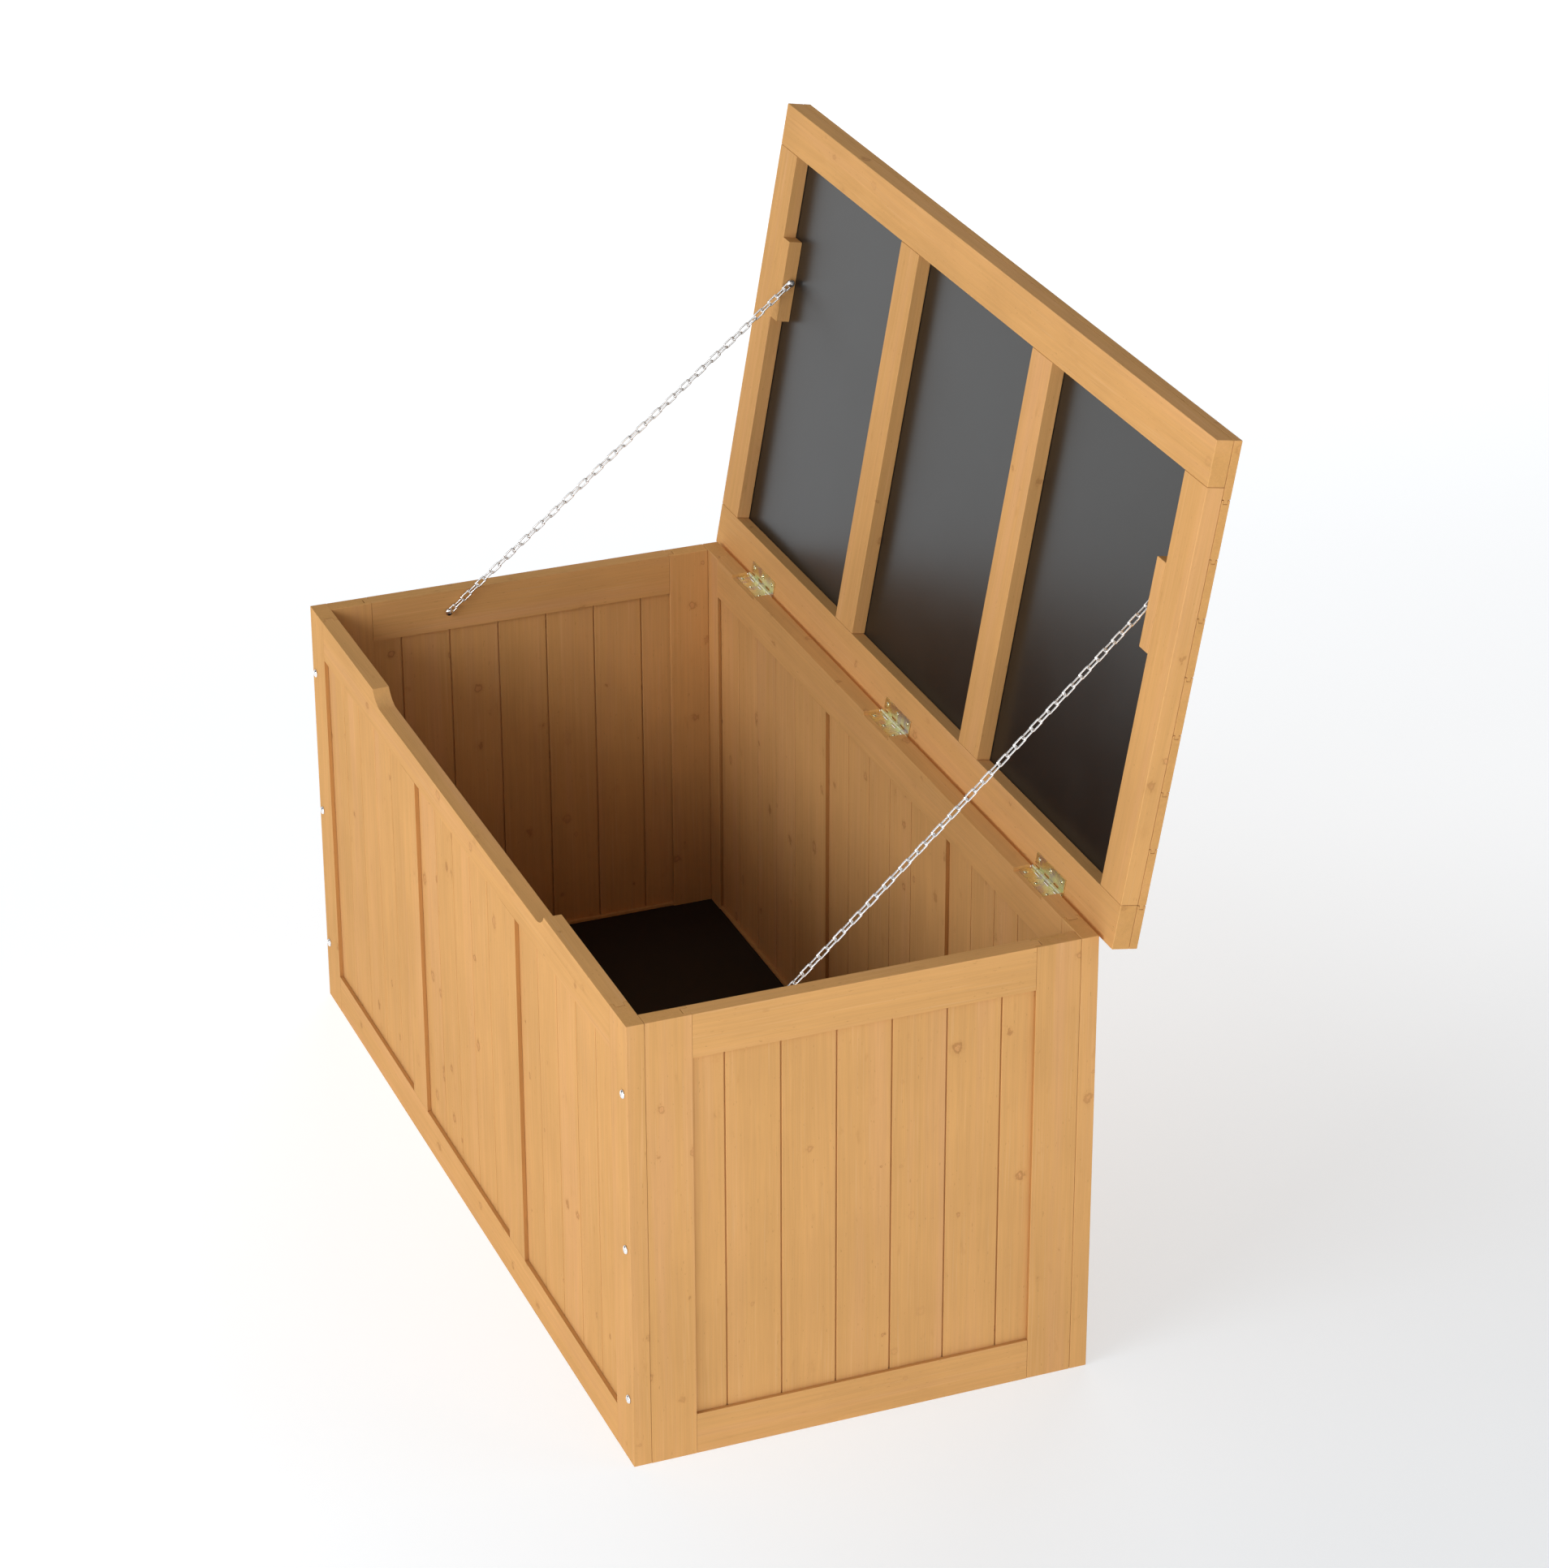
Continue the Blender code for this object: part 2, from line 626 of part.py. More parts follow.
def add_leaf(name, x, plate_z, own, other, on_lid):
    """A leaf reaching forward of the pin, with its own knuckles and slots round the other's."""
    half = HINGE_L / 2
    leaf = add_box(
        name, (x - half, AXIS_Y - HINGE_LEAF_W, plate_z), (x + half, AXIS_Y, plate_z + HINGE_LEAF_T),
        "yellow_zinc", on_lid,
    )
    for number, (start, end) in enumerate(other):
        at_low_end, at_high_end = start < x - half + GAP, end > x + half - GAP
        low = start - (OVERRUN if at_low_end else GAP)
        high = end + (OVERRUN if at_high_end else GAP)
        cut_box(
            leaf, f"slot_{number}",
            (low, AXIS_Y - KNUCKLE_SLOT, plate_z - SLOT_OVERRUN),
            (high, AXIS_Y + SLOT_OVERRUN, plate_z + HINGE_LEAF_T + SLOT_OVERRUN),
            on_lid,
        )
    for number, (start, end) in enumerate(own):
        knuckle = add_axis_rod(f"{name}_knuckle_{number}", start, end, KNUCKLE_R, None, on_lid)
        boolean(leaf, knuckle, "UNION")
    boolean(leaf, add_axis_rod(f"{name}_bore", x - HINGE_L, x + HINGE_L, BORE_R, None, on_lid))
    return leaf


def build_hinge(place_name, x, back_rail):
    """A butt hinge; its box leaf lies in a gain cut across the back top rail."""
    spans = knuckle_spans(x)
    box_plate = AXIS_Z - BOX_LEAF_BELOW_AXIS - HINGE_LEAF_T
    lid_plate = AXIS_Z + LID_LEAF_ABOVE_AXIS
    add_leaf(f"hinge_{place_name}_box_leaf", x, box_plate, spans[0::2], spans[1::2], False)
    add_leaf(f"hinge_{place_name}_lid_leaf", x, lid_plate, spans[1::2], spans[0::2], True)
    half = HINGE_L / 2
    add_axis_rod(f"hinge_{place_name}_pin", x - half, x + half, PIN_R, "yellow_zinc")
    low = (x - half - GAP, INNER_BACK_Y - OVERRUN, box_plate - GAP)
    high = (x + half + GAP, BACK_Y + OVERRUN, HEIGHT + OVERRUN)
    boolean(back_rail, add_box(f"hinge_gain_{place_name}", low, high))


def build():
    back, ends = build_carcass()
    build_lid_frame()
    build_deck()
    for side_name, sign in (("left", -1), ("right", 1)):
        build_chain(side_name, sign, ends[side_name]["top"])
    for place_name, x in zip(("left", "middle", "right"), HINGE_X):
        build_hinge(place_name, x, back["top"])


build()
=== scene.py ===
"""Looks of the wooden toy box: softwood with real boards, stay chains of links, screws and butt hinges.

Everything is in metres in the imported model's frame: +X along the box, +Y to the back, +Z up.
"""

import json
import math
import random

import bmesh
import bpy
from mathutils import Matrix, Vector


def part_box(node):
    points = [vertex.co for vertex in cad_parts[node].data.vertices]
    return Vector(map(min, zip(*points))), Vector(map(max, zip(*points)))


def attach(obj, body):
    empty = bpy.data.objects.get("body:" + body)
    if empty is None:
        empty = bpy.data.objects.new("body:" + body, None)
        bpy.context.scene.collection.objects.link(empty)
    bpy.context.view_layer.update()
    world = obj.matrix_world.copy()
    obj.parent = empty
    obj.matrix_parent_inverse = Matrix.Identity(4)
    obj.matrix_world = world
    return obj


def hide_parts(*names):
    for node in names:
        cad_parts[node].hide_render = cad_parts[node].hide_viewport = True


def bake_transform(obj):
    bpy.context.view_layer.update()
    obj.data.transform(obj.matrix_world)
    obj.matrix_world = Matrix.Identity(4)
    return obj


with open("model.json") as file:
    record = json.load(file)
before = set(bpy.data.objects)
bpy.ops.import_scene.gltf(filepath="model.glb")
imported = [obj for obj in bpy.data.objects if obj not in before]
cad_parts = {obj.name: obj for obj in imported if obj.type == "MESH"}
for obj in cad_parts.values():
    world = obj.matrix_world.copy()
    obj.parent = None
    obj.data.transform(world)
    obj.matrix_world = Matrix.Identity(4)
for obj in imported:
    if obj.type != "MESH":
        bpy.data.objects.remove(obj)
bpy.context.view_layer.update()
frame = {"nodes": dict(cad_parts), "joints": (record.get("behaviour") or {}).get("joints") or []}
NODES = frame["nodes"]
HINGE = frame["joints"][0]
AXIS = Vector(HINGE["pos_m"])
OPEN = math.radians(HINGE["range_deg"][1])
TO_OPEN = Matrix.Translation(AXIS) @ Matrix.Rotation(-OPEN, 4, "X") @ Matrix.Translation(-AXIS)
TO_CLOSED = TO_OPEN.inverted()
CARCASS_MIDDLE = (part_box("left_top_rail")[0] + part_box("right_top_rail")[1]) / 2

# Tongue-and-groove boards
BOARD_PITCH = 0.0555
BOARD_ENTRY = 0.0060
DECK_PITCH = 0.0577
DECK_BACK_BOARD = 0.0449
WALL_JOINT_GAP = 0.0015
DECK_JOINT_GAP = 0.0005
TONGUE_T = 0.0042
TONGUE_L = 0.0042
GROOVE_SLACK = 0.0003

# Rounded edges
MEMBER_ARRIS = 0.0007
BOARD_ARRIS = 0.0006
METAL_EDGE = 0.00015
MERGE = 0.00001
MEMBER_SEGMENTS = 3
FLAT_ANGLE = math.radians(1)
ARRIS_ANGLE = math.radians(35)
SHARP_ANGLE = math.radians(32)

# Screws and hinges
HEAD_R = 0.0044
HEAD_H = 0.0024
SHANK_R = 0.0019
HEAD_SIDES = 32
HEAD_STEPS = 10
# Shares of a screw head's radius and height
RECESS_REACH, RECESS_WIDTH, RECESS_DEPTH = 0.52, 0.17, 0.62
RECESS_TAPER = 0.35
# Shares of a shank's radius
THREAD_PITCH, THREAD_ROOT, TIP_START = 0.70, 0.80, 3
CHAIN_HEAD_CLEAR = 0.0050
CORNER_SCREW_L = 0.0300
CHAIN_SCREW_L = 0.0140
HINGE_HEAD_R = 0.0024
HINGE_HEAD_H = 0.00078
HINGE_HEAD_CLEAR = 0.0001
HINGE_SHANK_R = 0.0012
HINGE_SCREW_L = 0.0100
HINGE_SCREW_X = (-0.0252, 0.0, 0.0252)
BOX_SCREW_FROM_AXIS = 0.0108
LID_SCREW_FROM_AXIS = 0.0100
BOX_PLATE_BELOW_AXIS = 0.0002
LID_PLATE_ABOVE_AXIS = 0.0016
PLATE_T = 0.0010
KNUCKLES = 6
KNUCKLE_SIDES = 36
PIN_SIDES = 24
KNUCKLE_R = 0.0026
KNUCKLE_GAP = 0.0005
BORE_R = 0.0014
KNUCKLE_SLOT = 0.0042
# Room between metal pieces, and under the corner screws' heads
GAP = 0.0003

# Chains
WIRE_R = 0.0009
LINK_PITCH = 0.0111
LINK_W = 0.0075
LINK_BEND_R = 0.0014
LINK_BEND_STEPS = 5
WIRE_SIDES = 12
CHAIN_STANDOFF = 0.0045
LINK_SLACK = 0.00005

# Camera
CAMERA_AT = Vector((3.98378, -1.51739, 2.54744))
CAMERA_AZIMUTH = math.radians(68.5455)
CAMERA_ELEVATION = math.radians(26.3294)
CAMERA_ROLL = math.radians(-0.1877)
CAMERA_LENS = 107.59


# ---------------------------------------------------------------- node trees

# An output of the texture coordinate node
OBJECT_COORDINATES = 3


class Tree:
    """A short way to write shader nodes: each call makes a node and gives its first output."""

    def __init__(self, tree):
        self.tree = tree

    def put(self, value, socket):
        if value is None:
            return
        if isinstance(value, bpy.types.NodeSocket):
            self.tree.links.new(value, socket)
        else:
            socket.default_value = value

    def node(self, kind, inputs=None, output=0, **settings):
        node = self.tree.nodes.new(kind)
        for name, value in settings.items():
            setattr(node, name, value)
        for name, value in (inputs or {}).items():
            self.put(value, node.inputs[name])
        return node.outputs[output]

    def math(self, operation, a, b=None, c=None, clamp=False):
        return self.node("ShaderNodeMath", {0: a, 1: b, 2: c}, operation=operation, use_clamp=clamp)

    def vector(self, operation, a, b=None, output=0):
        return self.node("ShaderNodeVectorMath", {0: a, 1: b}, output, operation=operation)

    def split(self, vector):
        node = self.tree.nodes.new("ShaderNodeSeparateXYZ")
        self.put(vector, node.inputs[0])
        return node.outputs[:]

    def join(self, x, y, z):
        return self.node("ShaderNodeCombineXYZ", {0: x, 1: y, 2: z})

    def ramp(self, value, low, high, to_low=0.0, to_high=1.0):
        """Smooth step of value from low..high to to_low..to_high."""
        return self.node(
            "ShaderNodeMapRange",
            {"Value": value, "From Min": low, "From Max": high, "To Min": to_low, "To Max": to_high},
            interpolation_type="SMOOTHSTEP",
        )

    def noise(self, vector, scale, detail=2.0, roughness=0.5):
        """Noise of a place in metres; scale is per metre, and for wood (across, across, along) the grain."""
        stretched = self.vector("MULTIPLY", vector, scale)
        inputs = {"Vector": stretched, "Scale": 1.0, "Detail": detail, "Roughness": roughness}
        return self.node("ShaderNodeTexNoise", inputs)

    def mix(self, factor, a, b, blend="MIX"):
        node = self.tree.nodes.new("ShaderNodeMix")
        node.data_type = "RGBA"
        node.blend_type = blend
        self.put(factor, node.inputs[0])
        self.put(a, node.inputs[6])
        self.put(b, node.inputs[7])
        return node.outputs[2]


def new_material(name, **constants):
    """A material with constant sockets of its Principled shader set; gives it, its tree and the shader."""
    material = bpy.data.materials.new(name)
    material.use_nodes = True
    shader = material.node_tree.nodes["Principled BSDF"]
    for socket, value in constants.items():
        shader.inputs[socket.replace("_", " ")].default_value = value
    return material, Tree(material.node_tree), shader


# ---------------------------------------------------------------- wood

RING_PITCH = 0.0026
KNOT_SPREAD = (36.0, 36.0, 16.0)
KNOT_RADII = (0.0014, 0.0048)
LIGHT_WOOD = (0.692, 0.375, 0.139, 1.0)
LATE_WOOD = (0.590, 0.298, 0.096, 1.0)
PINK_WOOD = (0.690, 0.370, 0.165, 1.0)
PALE_WOOD = (0.770, 0.460, 0.225, 1.0)
SMUDGE_WOOD = (0.560, 0.280, 0.095, 1.0)
KNOT_HEART = (0.640, 0.315, 0.135, 1.0)
KNOT_RIM = (0.400, 0.175, 0.062, 1.0)
DASH_WOOD = (0.330, 0.160, 0.050, 1.0)
END_WOOD = (0.600, 0.310, 0.095, 1.0)
# Painted highlight on the rounded arrises
ARRIS_HIGHLIGHT_WOOD = (0.800, 0.470, 0.190, 1.0)
# Painted shade for faces in the reveals and in the gap at the hinges
REVEAL_SHADE_WOOD = (0.510, 0.253, 0.085, 1.0)
WANDER_SCALE = (7.0, 7.0, 1.3)
WANDER_REACH = (0.018, 0.018, 0.0)
KNOT_RING_DENSITY = 17.0
WOOD_SPECULAR = 0.01
WOOD_ROUGHNESS = (0.56, 0.68)
TONE_RANGE = (0.975, 1.02)
PINK_RANGE = (0.15, 0.75)


def knot_field(t, grain, knots):
    """The distance to the nearest knot as a share of its radius, and how far that knot is present."""
    spread = t.vector("MULTIPLY", grain, KNOT_SPREAD)
    cell = t.tree.nodes.new("ShaderNodeTexVoronoi")
    t.put(spread, cell.inputs["Vector"])
    cell.inputs["Scale"].default_value = 1.0
    draw, size, length = t.split(cell.outputs["Color"])
    offset = t.vector("DIVIDE", t.vector("SUBTRACT", spread, cell.outputs["Position"]), KNOT_SPREAD)
    offset = t.vector("MULTIPLY", offset, t.join(1.0, 1.0, t.math("MULTIPLY_ADD", length, 0.7, 0.5)))
    ragged = t.noise(grain, (260.0, 260.0, 190.0), 3.0)
    distance = t.vector("LENGTH", offset, output=1)
    distance = t.math("ADD", distance, t.ramp(ragged, 0.3, 0.7, -0.0012, 0.0012))
    radius = t.math("MULTIPLY_ADD", size, KNOT_RADII[1] - KNOT_RADII[0], KNOT_RADII[0])
    present = t.math("MULTIPLY", t.ramp(draw, 0.10, 0.60), knots)
    return t.math("DIVIDE", distance, radius), present


def late_wood(t, grain, bent, near_knot):
    """The dark part of each growth ring; the rings bend round a knot."""
    x, y, z = t.split(bent)
    reach = t.math("SQRT", t.math("ADD", t.math("MULTIPLY", x, x), t.math("MULTIPLY", y, y)))
    reach = t.math("MULTIPLY_ADD", z, 0.012, reach)
    uneven = t.noise(t.join(reach, 0.0, 0.0), (90.0, 1.0, 1.0), 1.0)
    rings = t.math("MULTIPLY_ADD", uneven, 2.2, t.math("DIVIDE", reach, RING_PITCH))
    rings = t.math("MULTIPLY_ADD", near_knot, 2.4, rings)
    phase = t.math("FRACT", rings)
    late = t.math("MULTIPLY", t.math("POWER", phase, 2.2), t.ramp(phase, 1.0, 0.90))
    strength = t.noise(grain, (22.0, 22.0, 1.1), 1.0)
    return t.math("MULTIPLY", late, t.ramp(strength, 0.35, 0.72, 0.04, 0.24))


def softwood_group():
    """Solid fir: rings round a pith, fibres, streaks, small knots and dashes, from grain coordinates."""
    group = bpy.data.node_groups.new("softwood", "ShaderNodeTree")
    for name, kind in (("Grain", "Vector"), ("Facing", "Vector"), ("Tone", "Float"), ("Pink", "Float"),
                       ("Knots", "Float"), ("Reveal", "Float")):
        group.interface.new_socket(name, in_out="INPUT", socket_type=f"NodeSocket{kind}")
    for name, kind in (("Color", "Color"), ("Roughness", "Float"), ("Height", "Float")):
        group.interface.new_socket(name, in_out="OUTPUT", socket_type=f"NodeSocket{kind}")
    t = Tree(group)
    source = group.nodes.new("NodeGroupInput")
    grain, facing, tone, pink, knots, reveal = source.outputs[:6]

    # The grain wanders a little along the board
    wander = t.node("ShaderNodeTexNoise", {
        "Vector": t.vector("MULTIPLY", grain, WANDER_SCALE), "Scale": 1.0, "Detail": 2.0}, output=1)
    shift = t.vector("MULTIPLY", t.vector("SUBTRACT", wander, (0.5, 0.5, 0.5)), WANDER_REACH)
    bent = t.vector("ADD", grain, shift)

    knot, present = knot_field(t, grain, knots)
    near_knot = t.math("MULTIPLY", t.ramp(knot, 4.0, 0.8), present)
    late = late_wood(t, grain, bent, near_knot)

    # Fibres, strands, bands, pale streaks and short dark dashes
    fibre = t.noise(bent, (1150.0, 1150.0, 18.0), 2.0, 0.6)
    strand = t.noise(bent, (260.0, 260.0, 5.0), 2.0, 0.55)
    band = t.noise(bent, (48.0, 48.0, 2.0), 2.0)
    streak = t.ramp(t.noise(bent, (520.0, 520.0, 7.5), 1.0), 0.60, 0.74)
    blotch = t.noise(grain, (16.0, 16.0, 9.0), 3.0)
    dash = t.ramp(t.noise(bent, (560.0, 560.0, 150.0), 1.0), 0.715, 0.79)
    smudge = t.ramp(t.noise(bent, (110.0, 110.0, 38.0), 2.0), 0.66, 0.80)

    colour = t.mix(late, LIGHT_WOOD, LATE_WOOD)
    colour = t.mix(t.math("MULTIPLY", t.ramp(band, 0.46, 0.72), pink), colour, PINK_WOOD)
    colour = t.mix(t.math("MULTIPLY", streak, 0.28), colour, PALE_WOOD)
    colour = t.mix(t.math("MULTIPLY", smudge, 0.34), colour, SMUDGE_WOOD)
    colour = t.mix(t.math("MULTIPLY", dash, 0.30), colour, DASH_WOOD)
    shade = t.ramp(fibre, 0.30, 0.70, 1.022, 0.978)
    shade = t.math("ADD", shade, t.ramp(strand, 0.28, 0.72, 0.028, -0.028))
    shade = t.math("ADD", shade, t.ramp(band, 0.25, 0.75, -0.022, 0.020))
    shade = t.math("ADD", shade, t.ramp(blotch, 0.28, 0.72, -0.040, 0.032))
    shade = t.math("MULTIPLY", shade, tone)

    # A knot has a darker ragged rim, a pinkish heart with fine rings, and darker grain about it
    halo = t.math("MULTIPLY", t.ramp(knot, 2.2, 0.9), present)
    rim = t.math("MULTIPLY", t.ramp(knot, 0.45, 0.85), t.ramp(knot, 1.30, 0.95))
    rim = t.math("MULTIPLY", rim, present)
    heart = t.math("MULTIPLY", t.ramp(knot, 0.95, 0.60), present)
    heart_rings = t.math("SINE", t.math("MULTIPLY", knot, KNOT_RING_DENSITY))
    colour = t.mix(t.math("MULTIPLY", halo, 0.30), colour, SMUDGE_WOOD)
    colour = t.mix(t.math("MULTIPLY", heart, 0.45), colour, KNOT_HEART)
    colour = t.mix(t.math("MULTIPLY", rim, 0.55), colour, KNOT_RIM)
    shade = t.math("MULTIPLY_ADD", t.math("MULTIPLY", heart_rings, heart), 0.05, shade)

    # End grain is darker; reveals and the gap at the hinges get painted shade, and arrises a painted
    # highlight
    fx, fy, fz = t.split(t.vector("ABSOLUTE", facing))
    colour = t.mix(t.ramp(fz, 0.60, 0.92, 0.0, 0.35), colour, END_WOOD)
    flat = t.math("MAXIMUM", t.math("MAXIMUM", fx, fy), fz)
    # Painted highlight where a face turns over its rounded arris
    colour = t.mix(t.ramp(flat, 0.995, 0.90, 0.0, 0.32), colour, ARRIS_HIGHLIGHT_WOOD)
    colour = t.mix(t.math("MULTIPLY", reveal, 0.9), colour, REVEAL_SHADE_WOOD)
    colour = t.vector("SCALE", colour)
    t.put(shade, colour.node.inputs["Scale"])

    height = t.math("ADD", t.math("MULTIPLY", fibre, 0.55), t.math("MULTIPLY", late, -0.5))
    height = t.math("MULTIPLY_ADD", strand, 0.3, height)
    height = t.math("MULTIPLY_ADD", rim, -0.6, height)
    height = t.math("MULTIPLY_ADD", dash, -0.8, height)
    rough = t.ramp(strand, 0.25, 0.75, *WOOD_ROUGHNESS)
    sink = group.nodes.new("NodeGroupOutput")
    t.put(colour, sink.inputs["Color"])
    t.put(rough, sink.inputs["Roughness"])
    t.put(height, sink.inputs["Height"])
    return group


SOFTWOOD = softwood_group()
# Rotations that turn the model's X, Y or Z into the grain's own Z, its direction of growth
ALONG = {
    "X": Matrix.Rotation(math.radians(-90), 3, "Y"),
    "Y": Matrix.Rotation(math.radians(90), 3, "X"),
    "Z": Matrix.Identity(3),
}
PITH_NEAR, PITH_FAR = 0.022, 0.070
GRAIN_START_RANGE = 40.0
MEMBER_KNOTS = 0.75
BOARD_KNOTS = 1.0
MEMBER_ENDINGS = ("_stile", "_rail", "_muntin_left", "_muntin_right")


def wood_material(name, along, centre, on_lid, knots, reveals=()):
    """One piece's own wood: its grain runs `along` X, Y or Z, of the closed lid if it is on the lid.

    Faces that look along one of the reveals' directions are darker: painted shade in the frames' recesses
    and in the gap at the hinges.
    """
    draw = random.Random(name)
    turn = ALONG[along] @ (TO_CLOSED.to_3x3() if on_lid else Matrix.Identity(3))
    material, t, shader = new_material(f"wood_{name}", IOR=1.45)
    shader.inputs["Specular IOR Level"].default_value = WOOD_SPECULAR
    angle = draw.uniform(0, 2 * math.pi)
    pith = draw.uniform(PITH_NEAR, PITH_FAR)
    place = Vector((pith * math.cos(angle), pith * math.sin(angle), draw.uniform(0, GRAIN_START_RANGE)))
    place -= turn @ centre
    euler = turn.to_euler()
    here = t.node("ShaderNodeTexCoord", output=OBJECT_COORDINATES)
    normal = here.node.outputs["Normal"]
    grain = t.node("ShaderNodeMapping", {"Vector": here, "Location": place, "Rotation": euler})
    facing = t.node("ShaderNodeMapping", {"Vector": normal, "Rotation": euler})
    group = t.tree.nodes.new("ShaderNodeGroup")
    group.node_tree = SOFTWOOD
    t.put(grain, group.inputs["Grain"])
    t.put(facing, group.inputs["Facing"])
    group.inputs["Tone"].default_value = draw.uniform(*TONE_RANGE)
    group.inputs["Pink"].default_value = draw.uniform(*PINK_RANGE)
    group.inputs["Knots"].default_value = knots
    # Painted shade on the faces that look along the reveals' directions
    shares = [t.ramp(t.vector("DOT_PRODUCT", normal, way, output=1), 0.85, 0.98) for way in reveals]
    if shares:
        t.put(t.math("MAXIMUM", shares[0], shares[-1]), group.inputs["Reveal"])
    relief = group.outputs["Height"]
    bump = t.node("ShaderNodeBump", {"Strength": 0.25, "Distance": 0.0002, "Height": relief})
    t.put(group.outputs["Color"], shader.inputs["Base Color"])
    t.put(group.outputs["Roughness"], shader.inputs["Roughness"])
    t.put(bump, shader.inputs["Normal"])
    return material


def soften(obj, width, segments=2, packed=False):
    """Rounds an object's edges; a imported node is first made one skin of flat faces, which stay flat."""
    if packed:
        weld = obj.modifiers.new("weld", "WELD")
        weld.merge_threshold = MERGE
        planar = obj.modifiers.new("planar", "DECIMATE")
        planar.decimate_type = "DISSOLVE"
        planar.angle_limit = FLAT_ANGLE
    bevel = obj.modifiers.new("arris", "BEVEL")
    bevel.width = width
    bevel.segments = segments
    bevel.limit_method = "ANGLE"
    bevel.angle_limit = ARRIS_ANGLE
    bevel.harden_normals = not packed
    if packed:
        weighted = obj.modifiers.new("flat_faces", "WEIGHTED_NORMAL")
        weighted.mode = "FACE_AREA"
        weighted.weight = 100


def set_material(obj, material):
    """Gives an object this one material."""
    obj.data.materials.clear()
    obj.data.materials.append(material)


def grain_of(node):
    """The direction that a wooden piece's grain runs in, from what the piece is."""
    if "stile" in node or "muntin" in node or "block" in node:
        return "Y" if node.startswith(("lid_", "chain_")) else "Z"
    return "Y" if node.startswith(("left_", "right_")) else "X"


def middle_of(node):
    """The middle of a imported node's box."""
    low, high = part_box(node)
    return (low + high) / 2


def reveals_of(node):
    """Where a member's faces with painted shade look: into its frame's openings, or into the gap at the
    hinges.
    """
    if node == "lid_back_rail":
        return [TO_OPEN.to_3x3() @ Vector((0, 1, 0))]
    if node.startswith(("lid_", "chain_")):
        return []
    if node.endswith("_rail"):
        return [Vector((0, 0, 1 if "bottom" in node else -1))]
    if "muntin" in node:
        return [Vector((1, 0, 0)), Vector((-1, 0, 0))]
    to_middle = CARCASS_MIDDLE - middle_of(node)
    across = 1 if node.startswith(("left_", "right_")) else 0
    way = Vector()
    way[across] = math.copysign(1, to_middle[across])
    return [way]


def is_member(node):
    """Whether a node is a batten of a frame or a chain's block, and not a screw in one."""
    return "screw" not in node and (node.endswith(MEMBER_ENDINGS) or node.startswith("chain_block"))


def finish_members():
    """The frames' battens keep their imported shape, with rounded arrises and their own wood."""
    for name, node in NODES.items():
        if is_member(name):
            node.data.shade_smooth()
            soften(node, MEMBER_ARRIS, MEMBER_SEGMENTS, packed=True)
            on_lid = name.startswith(("lid_", "chain_"))
            along, reveals = grain_of(name), reveals_of(name)
            set_material(node, wood_material(name, along, middle_of(name), on_lid, MEMBER_KNOTS, reveals))


# ---------------------------------------------------------------- boards


def board_outline(start, end, thickness, gap, has_groove, has_tongue):
    """Section of a tongue-and-groove board: u runs from start to end, v through the thickness."""
    half = thickness / 2
    low = start + (gap / 2 if has_groove else 0)
    high = end - (gap / 2 if has_tongue else 0)
    tongue = TONGUE_T / 2
    groove = tongue + GROOVE_SLACK / 2
    outline = [(high, -half)]
    if has_tongue:
        tip = high + TONGUE_L
        outline += [(high, -tongue), (tip, -tongue), (tip, tongue), (high, tongue)]
    outline += [(high, half), (low, half)]
    if has_groove:
        floor = low + TONGUE_L - gap + GROOVE_SLACK
        outline += [(low, groove), (floor, groove), (floor, -groove), (low, -groove)]
    outline += [(low, -half)]
    return outline


def extrude(name, outline, place, length):
    """A solid from an outline; place(u, v, w) gives each point, with w from 0 to length."""
    mesh = bpy.data.meshes.new(name)
    shape = bmesh.new()
    near, far = [[shape.verts.new(place(u, v, w)) for u, v in outline] for w in (0.0, length)]
    shape.faces.new(near)
    shape.faces.new(far)
    for i in range(len(outline)):
        shape.faces.new((near[i - 1], near[i], far[i], far[i - 1]))
    bmesh.ops.recalc_face_normals(shape, faces=shape.faces)
    shape.to_mesh(mesh)
    shape.free()
    mesh.shade_smooth()
    obj = bpy.data.objects.new(name, mesh)
    bpy.context.scene.collection.objects.link(obj)
    return obj


def add_board(name, outline, place, length, along, body, node, on_lid=False):
    """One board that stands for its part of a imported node."""
    board = extrude(name, outline, place, length)
    soften(board, BOARD_ARRIS)
    middle = sum((vertex.co for vertex in board.data.vertices), Vector()) / len(board.data.vertices)
    set_material(board, wood_material(name, along, middle, on_lid, BOARD_KNOTS))
    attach(board, body)
    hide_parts(node)


def bay_joints(low, high):
    """Joints of the boards in a bay, evenly about its middle."""
    middle = (low + high) / 2
    half = (high - low) / 2 - BOARD_ENTRY
    count = math.ceil((half - BOARD_PITCH / 2) / BOARD_PITCH)
    offsets = [BOARD_PITCH * (step + 0.5) for step in range(count)]
    return [middle - offset for offset in reversed(offsets)] + [middle + offset for offset in offsets]


def add_bay(node, label):
    """The separate vertical boards of one bay."""
    low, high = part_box(node)
    across = 0 if high.x - low.x > high.y - low.y else 1
    through = 1 - across
    middle = (low[through] + high[through]) / 2
    edges = [low[across], *bay_joints(low[across], high[across]), high[across]]
    thickness = high[through] - low[through]

    def place(u, v, w):
        point = [0.0, 0.0, low.z + w]
        point[across] = u
        point[through] = middle + v
        return point

    for number, (start, end) in enumerate(zip(edges, edges[1:]), 1):
        ends = (number > 1, number < len(edges) - 1)
        outline = board_outline(start, end, thickness, WALL_JOINT_GAP, *ends)
        add_board(f"{label}_{number}", outline, place, high.z - low.z, "Z", "carcass", node)


def closed_box(node):
    """A lid node's lowest and highest corners with the lid closed."""
    points = [TO_CLOSED @ vertex.co for vertex in NODES[node].data.vertices]
    low = Vector(min(point[i] for point in points) for i in range(3))
    high = Vector(max(point[i] for point in points) for i in range(3))
    return low, high


